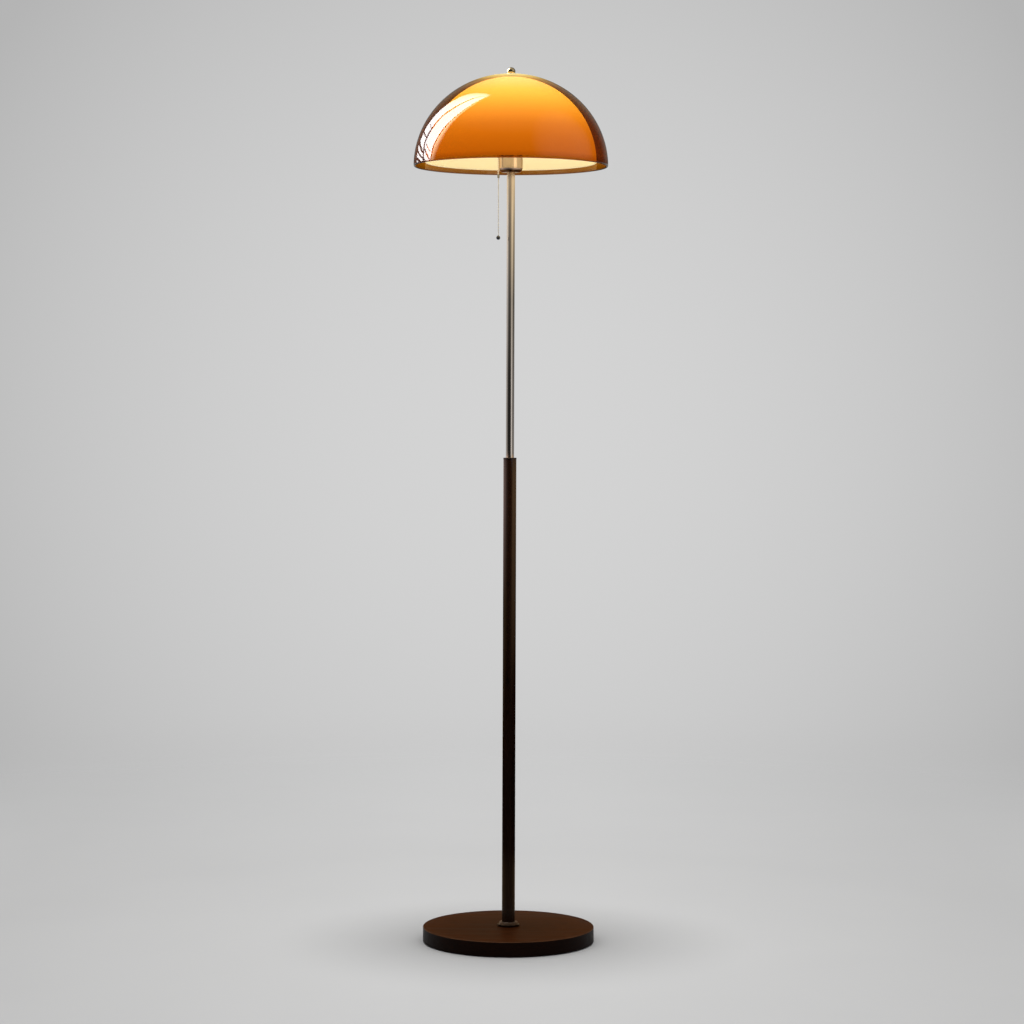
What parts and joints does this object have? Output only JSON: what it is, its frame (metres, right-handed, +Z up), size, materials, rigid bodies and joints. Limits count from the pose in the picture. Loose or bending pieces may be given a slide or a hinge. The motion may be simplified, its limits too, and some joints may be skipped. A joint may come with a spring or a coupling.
{
  "type": "floor lamp",
  "caption": "Mushroom floor lamp: smoky amber dome over an opal diffuser on a brass pole and dark walnut post with a round weighted base and a pull chain.",
  "frame": {"origin": "centre of the felt face that rests on the floor", "axes": "+Z up along the pole, -Y towards the front of the lamp, +X to the right seen from the front"},
  "size_m": [0.35, 0.35, 1.5793],
  "materials": {
    "felt": "black wool felt",
    "steel": "zinc-plated steel",
    "walnut": "dark walnut-stained wood under satin lacquer",
    "cast_iron": "raw cast iron, grey primer",
    "black_plastic": "moulded phenolic, matte black",
    "dark_bronze": "dark bronzed brass, satin",
    "aged_metal": "dull antique brass, satin",
    "satin_brass": "satin brushed champagne brass, clear lacquer",
    "polished_brass": "polished brass",
    "chain_brass": "polished ball chain",
    "nickel": "nickel plate",
    "fibre": "insulating fibre board",
    "fibre_red": "pressed insulating fibre",
    "rubber": "translucent silicone rubber",
    "opal_acrylic": "opal white acrylic, lit from inside",
    "amber_acrylic": "clear smoky-amber acrylic, polished",
    "bulb_opal": "opal glass bulb, lit"
  },
  "bodies": {
    "lamp": {"felt_pad": "felt", "bottom_plate": "steel", "plate_screws": "steel", "base_disc": "walnut", "base_weight": "cast_iron", "cord_bushing": "black_plastic", "rod_washer": "steel", "rod_nut": "steel", "tie_rod": "steel", "collar_flange": "dark_bronze", "collar_ring": "aged_metal", "lower_post": "walnut", "post_cap": "dark_bronze", "pole_coupling": "steel", "upper_pole": "satin_brass", "pole_top_bush": "steel", "lamp_nipple": "steel", "socket_husk": "satin_brass", "harp_saddle": "polished_brass", "harp_ferrules": "polished_brass", "harp": "polished_brass", "harp_stud": "steel", "holder_cap": "satin_brass", "holder_shell": "satin_brass", "holder_liner": "fibre", "switch_body": "black_plastic", "terminal_screws": "polished_brass", "centre_contact": "polished_brass", "screw_shell": "nickel", "drum_pin": "steel", "drum_spring": "steel", "chain_nozzle": "polished_brass", "bulb_glass": "bulb_opal", "bulb_cap": "nickel", "bulb_insulator": "black_plastic", "bulb_contact": "nickel", "diffuser_gasket": "rubber", "inner_diffuser": "opal_acrylic", "shade_spacer": "rubber", "outer_shade": "amber_acrylic", "finial_washer": "polished_brass", "finial": "polished_brass"},
    "chain_slider": {"chain_head": "chain_brass"},
    "chain_link": {"chain_swivel": "chain_brass"},
    "pull_chain": {"upper_chain": "chain_brass", "chain_connector": "dark_bronze", "lower_chain": "chain_brass", "pull_ball": "dark_bronze"},
    "feed": {"chain_feed": "chain_brass"},
    "drum": {"switch_drum": "fibre_red"}
  },
  "joints": [
    {"name": "chain_pull", "type": "slide", "parent": "lamp", "child": "chain_slider", "axis": [0, 0, -1], "range_m": [0, 0.008], "stiffness_N_per_m": 500, "springref_m": -0.003},
    {"name": "chain_swing_out", "type": "hinge", "parent": "chain_slider", "child": "chain_link", "pos_m": [-0.0223, -0.01521, 1.4165], "axis": [-0.5635, 0.8261, 0], "range_deg": [-4, 60]},
    {"name": "chain_swing_side", "type": "hinge", "parent": "chain_link", "child": "pull_chain", "pos_m": [-0.0223, -0.01521, 1.4165], "axis": [-0.8261, -0.5635, 0], "range_deg": [-45, 45]},
    {"name": "feed_slide", "type": "slide", "parent": "lamp", "child": "feed", "axis": [-0.8261, -0.5635, 0], "range_m": [0, 0.008]},
    {"name": "drum_turn", "type": "hinge", "parent": "lamp", "child": "drum", "pos_m": [0, 0, 1.4185], "axis": [-0.5635, 0.8261, 0], "range_deg": [-52, 0], "deforming": ["drum_spring"]}
  ],
  "couplings": [
    {"joint": "feed_slide", "follows": "chain_pull", "ratio": 1},
    {"joint": "drum_turn", "follows": "chain_pull", "rad_per_m": -111.11}
  ]
}
